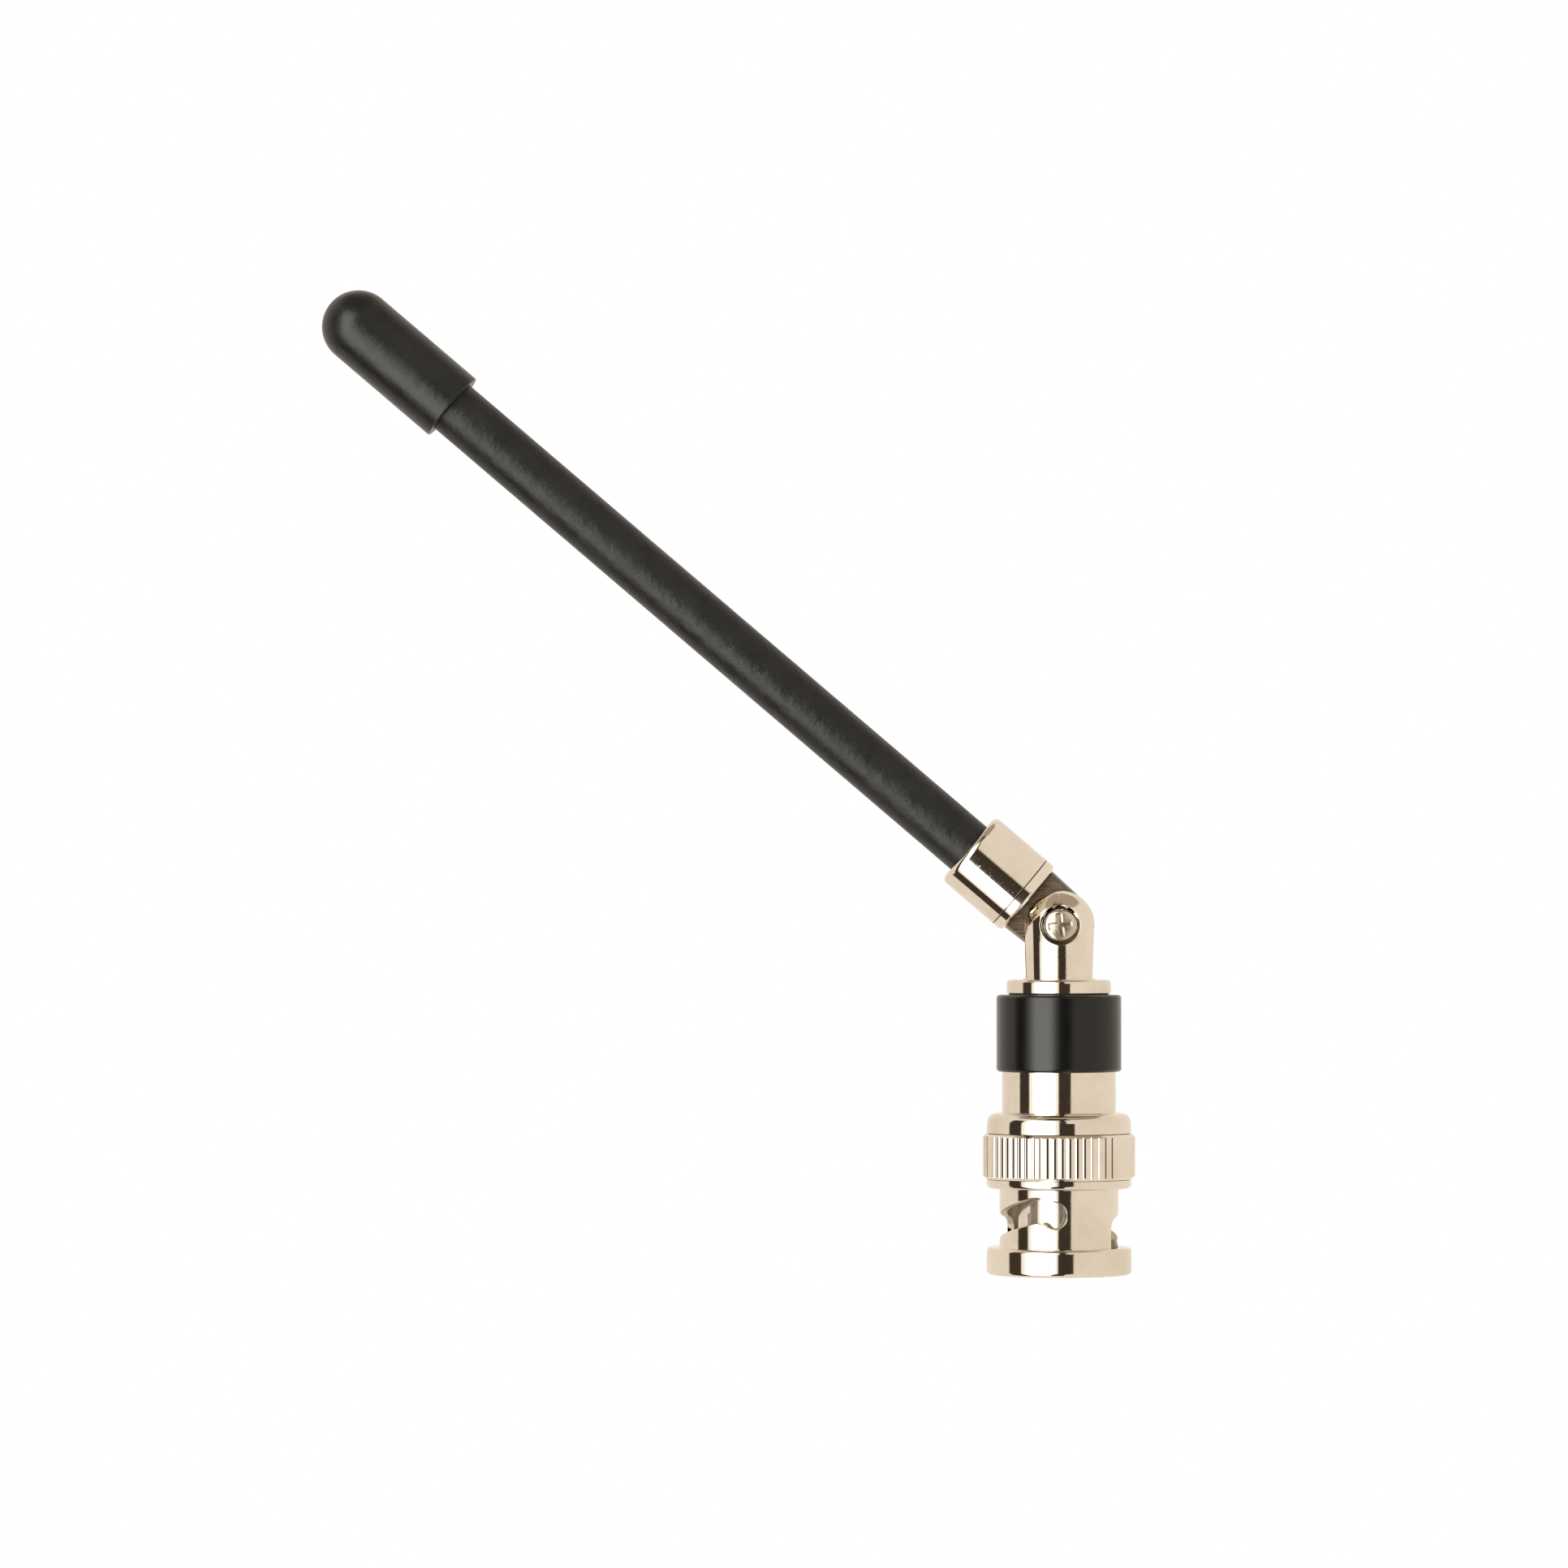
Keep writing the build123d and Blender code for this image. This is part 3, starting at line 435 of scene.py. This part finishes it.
def nut_columns():
    """Azimuth and side of each column round the nut. A step has two columns, one for each of its faces."""
    pitch = 360 / TEETH
    angles = set()
    for tooth in range(TEETH):
        for reach in (-1, -2 / 3, -1 / 3, 0, 1 / 3, 2 / 3, 1):
            angles.add(round(tooth * pitch + degrees(reach * RIDGE_HALF / KNURL_R), 5))
        angles.add(round((tooth + 0.5) * pitch, 5))
    steps = set()
    for turn_by in (0, 180):
        entry = POCKET - ENTRY_SWEEP + turn_by
        half = degrees(asin(SLOT_HALF / BARREL_R))
        steps.update((round((entry - half) % 360, 5), round((entry + half) % 360, 5)))
        for share in spaced(-1, 1, SLOT_COLUMNS):
            off_pocket = degrees(asin(POCKET_R * sin(share * pi / 2) / BARREL_R))
            angles.add(round((POCKET + turn_by + off_pocket) % 360, 5))
            angles.add(round((entry + half * share) % 360, 5))
    columns = []
    for angle in sorted({angle % 360 for angle in angles} | steps):
        sides = (-1, 1) if angle in steps else (0,)
        columns.extend((angle, side) for side in sides)
    return columns


class Shell:
    """A closed surface of revolution in columns, welded, with exact normals for clean reflections."""

    def __init__(self, columns):
        self.columns = columns
        self.points, self.index, self.faces, self.normals, self.inside = [], {}, [], [], []
        self.outward = [Vector((sin(radians(a)), -cos(radians(a)), 0)) for a, _ in columns]
        self.forward = [Vector((cos(radians(a)), sin(radians(a)), 0)) for a, _ in columns]

    def vertex(self, point):
        key = tuple(round(value * WELDS_PER_MM) for value in point)
        if key not in self.index:
            self.index[key] = len(self.points)
            self.points.append(point * MM)
        return self.index[key]

    def strip(self, low, high, tilts=None, slopes=None, only=None, inside=0):
        """Faces from the ring low to the ring high, each a list of (radius, height) by column."""
        count = len(self.columns)
        found = {}
        for left in range(count):
            right = (left + 1) % count
            if only and not (only[left] and only[right]):
                continue
            corners, places, normals = [], [], []
            for ring, column, end in ((low, left, 0), (low, right, 0), (high, right, 1), (high, left, 1)):
                r, z = ring[column]
                place = self.outward[column] * r + Vector((0, 0, z))
                corner = self.vertex(place)
                if corner in corners:
                    continue
                corners.append(corner)
                places.append((place, column))
                if tilts:
                    slope = slopes[column][1 if column == left else 0] if slopes else 0.0
                    facing = self.outward[column] - self.forward[column] * slope
                    normals.append(facing * tilts[end][0] + Vector((0, 0, tilts[end][1])))
            if len(corners) < 3:
                continue
            flat = Vector()
            for index, (place, _) in enumerate(places):
                flat += place.cross(places[(index + 1) % len(places)][0])
            if flat.length < SMALLEST_FACE:
                continue
            stepped = self.columns[left][0] == self.columns[right][0]
            found[left] = (corners, places, None if stepped or not tilts else normals, flat.normalized())
        for left, (corners, places, normals, flat) in found.items():
            if normals is None:
                normals = []
                for _, column in places:
                    beside = found.get((left + (1 if column != left else -1)) % count)
                    near = beside and beside[3].dot(flat) > SMOOTH_COSINE
                    normals.append(flat + beside[3] if near else flat)
            self.faces.append(corners)
            self.normals.extend(normals)
            self.inside.append(inside)

    def lathe(self, profile, first=None, last=None):
        """An open chain of (radius, height, corner) with rounded corners, joined to rings at its ends."""
        rows = []
        for index, (r, z, corner) in enumerate(profile):
            if not corner:
                rows.append((r, z, None, index))
                continue
            before, after = Vector(profile[index - 1][:2]), Vector(profile[index + 1][:2])
            come, leave = (Vector((r, z)) - before).normalized(), (after - Vector((r, z))).normalized()
            turn = atan2(come.x * leave.y - come.y * leave.x, come.dot(leave))
            side = 1 if turn > 0 else -1
            normal = Vector((come.y, -come.x))
            centre = Vector((r, z)) - come * corner * tan(abs(turn) / 2) - normal * corner * side
            for share in spaced(0, 1, ARC_STEPS):
                swing = turn * share
                facing = Vector((normal.x * cos(swing) - normal.y * sin(swing),
                                 normal.x * sin(swing) + normal.y * cos(swing)))
                point = centre + facing * corner * side
                rows.append((point.x, point.y, facing, index))
        for number, (start, end) in enumerate(zip(rows, rows[1:])):
            run = (Vector(end[:2]) - Vector(start[:2])).normalized()
            flat = Vector((run.y, -run.x))
            same_arc = start[3] == end[3]
            tilts = (start[2], end[2]) if same_arc else (flat, flat)
            low = [start[:2]] * len(self.columns) if number or first is None else first
            high = [end[:2]] * len(self.columns) if number < len(rows) - 2 or last is None else last
            self.strip(low, high, tilts)

    def build(self, name, *finishes):
        mesh = bpy.data.meshes.new(name)
        mesh.from_pydata(self.points, [], self.faces)
        mesh.polygons.foreach_set("use_smooth", [True] * len(self.faces))
        mesh.normals_split_custom_set([normal.normalized() for normal in self.normals])
        for finish in finishes:
            mesh.materials.append(finish)
        mesh.polygons.foreach_set("material_index", self.inside)
        piece = bpy.data.objects.new(name, mesh)
        bpy.context.collection.objects.link(piece)
        return piece


def build_nut():
    """Knurled grip with narrow rolled grooves, and a barrel whose bayonet slots have rounded edges.

    Its sizes repeat the CAD nut's, but its ridges' crests stand where the CAD's grooves are.
    """
    columns = nut_columns()
    shell = Shell(columns)
    count = len(columns)
    slots = [slot_at(*column) for column in columns]
    entries = [in_entry(*column) for column in columns]
    opened = [slot is not None for slot in slots]
    middle = (RIM_TOP + BARREL_TOP) / 2
    low_edge = [slot[0] if slot else middle for slot in slots]
    high_edge = [slot[1] if slot else middle for slot in slots]
    soft_low = [min(SLOT_EDGE, (high - low) / 4, low - RIM_TOP) for low, high in zip(low_edge, high_edge)]
    soft_high = [min(SLOT_EDGE, (high - low) / 4) for low, high in zip(low_edge, high_edge)]
    inner = [GROOVE_R if entry else BORE_R for entry in entries]

    def ring(radii, heights):
        radii = radii if isinstance(radii, list) else [radii] * count
        heights = heights if isinstance(heights, list) else [heights] * count
        return list(zip(radii, heights))

    def slot_edge(heights, amounts, sign, angle):
        """A slot's rounded edge at one angle of its arc: sign is 1 below the slot and -1 above it."""
        radii = [BARREL_R - soft + soft * cos(angle) for soft in amounts]
        return ring(radii, [height - sign * (soft - soft * sin(angle)) for height, soft in zip(heights, amounts)])

    # Rim, then the barrel below the slots, over their lower edges and down the bore to its mouth.
    mouth = ring([max(r, BORE_R + LEAD_IN) for r in inner], 0.0)
    shell.lathe([
        (BORE_R + LEAD_IN, 0, 0), (RIM_R, 0, RIM_EDGE), (RIM_R, RIM_TOP, RIM_EDGE), (BARREL_R, RIM_TOP, 0),
    ], first=mouth)
    arc_step = pi / 2 / ARC_STEPS
    reached = ring(BARREL_R, RIM_TOP)
    for share in spaced(0, 1, ARC_STEPS):
        angle = share * pi / 2
        arc = slot_edge(low_edge, soft_low, 1, angle)
        earlier = (cos(angle - arc_step), sin(angle - arc_step)) if share else OUT
        shell.strip(reached, arc, (earlier, (cos(angle), sin(angle))))
        reached = arc
    inner_low = ring(inner, low_edge)
    shell.strip(reached, inner_low, only=opened, inside=1)
    lead_in = ring(inner, [0.0 if entry else LEAD_IN for entry in entries])
    shell.strip(inner_low, lead_in, (IN, IN), inside=1)
    shell.strip(lead_in, mouth, ((-DIAGONAL, -DIAGONAL), (-DIAGONAL, -DIAGONAL)), inside=1)

    # From the bore over the slots' upper edges to the barrel's top.
    inner_high = ring(BORE_R, high_edge)
    reached = slot_edge(high_edge, soft_high, -1, pi / 2)
    shell.strip(inner_high, reached, only=opened, inside=1)
    for share in spaced(1, 0, ARC_STEPS)[1:]:
        angle = share * pi / 2
        arc = slot_edge(high_edge, soft_high, -1, angle)
        earlier = angle + arc_step
        shell.strip(reached, arc, ((cos(earlier), -sin(earlier)), (cos(angle), -sin(angle))))
        reached = arc
    shell.strip(reached, ring(BARREL_R, BARREL_TOP), (OUT, OUT))
    shell.lathe([
        (BARREL_R, BARREL_TOP, 0), (RIM_R, BARREL_TOP, SHOULDER_EDGE), (RIM_R, KNURL_BOTTOM - FOOT_STEP, 0),
        (RIM_R - FOOT_STEP_R, KNURL_BOTTOM, 0), (KNURL_END_R, KNURL_BOTTOM, 0),
    ])

    # Knurl with its bevelled ends, crown, lip and the bore behind the slots.
    knurl, slopes = zip(*(ridge(azimuth) for azimuth, _ in columns))
    foot = ring(KNURL_END_R, KNURL_BOTTOM)
    start = ring(list(knurl), [KNURL_BOTTOM + (r - KNURL_END_R) for r in knurl])
    stop = ring(list(knurl), [KNURL_TOP - (r - KNURL_END_R) for r in knurl])
    head = ring(KNURL_END_R, KNURL_TOP)
    shell.strip(foot, start, ((DIAGONAL, -DIAGONAL), (DIAGONAL, -DIAGONAL)))
    shell.strip(start, stop, (OUT, OUT), slopes)
    shell.strip(stop, head, ((DIAGONAL, DIAGONAL), (DIAGONAL, DIAGONAL)))
    shell.lathe([
        (KNURL_END_R, KNURL_TOP, 0), (RIM_R - HEAD_STEP_R, KNURL_TOP, 0), (RIM_R, KNURL_TOP + HEAD_STEP, 0),
        (CROWN_TOP_R, NUT_TOP, CROWN_EDGE), (LIP_BORE_R, NUT_TOP, LIP_EDGE), (LIP_BORE_R, LIP_FRONT, 0),
        (BORE_R, LIP_FRONT, 0),
    ])
    shell.strip(ring(BORE_R, LIP_FRONT), inner_high, (IN, IN), inside=1)
    # faces marked inside get the darker copy of the nickel, painted shade of the bore and slots
    nut = shell.build("coupling_nut_turned", materials["nickel_nut"], materials["nut_inside_shaded"])
    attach(nut, "bayonet_nut")
    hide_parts("coupling_nut")


def build_spring():
    """The wave spring's strip in its own finish, held to the plug body; its flattening against the flange as the
    nut is pulled is not modelled.
    """
    strip = bpy.data.objects.new("wave_spring_strip", frame["nodes"]["wave_spring"].data.copy())
    bpy.context.collection.objects.link(strip)
    strip.data.materials.clear()
    strip.data.materials.append(materials["spring_steel"])
    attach(strip, "plug_body")
    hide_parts("wave_spring")
    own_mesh(strip)


OWN_FINISH = {"knuckle_fork": "fork_nickel", "pivot_screw": "screw_nickel"}
for entry in frame["record"]["subparts"]:
    node = frame["nodes"][entry["node"]]
    node.data.materials.clear()
    node.data.materials.append(materials[OWN_FINISH.get(entry["node"], entry["material_slot"])])

build_nut()
build_spring()
build_studio()
build_floor()
build_camera()
bpy.context.scene.view_settings.view_transform = "Standard"
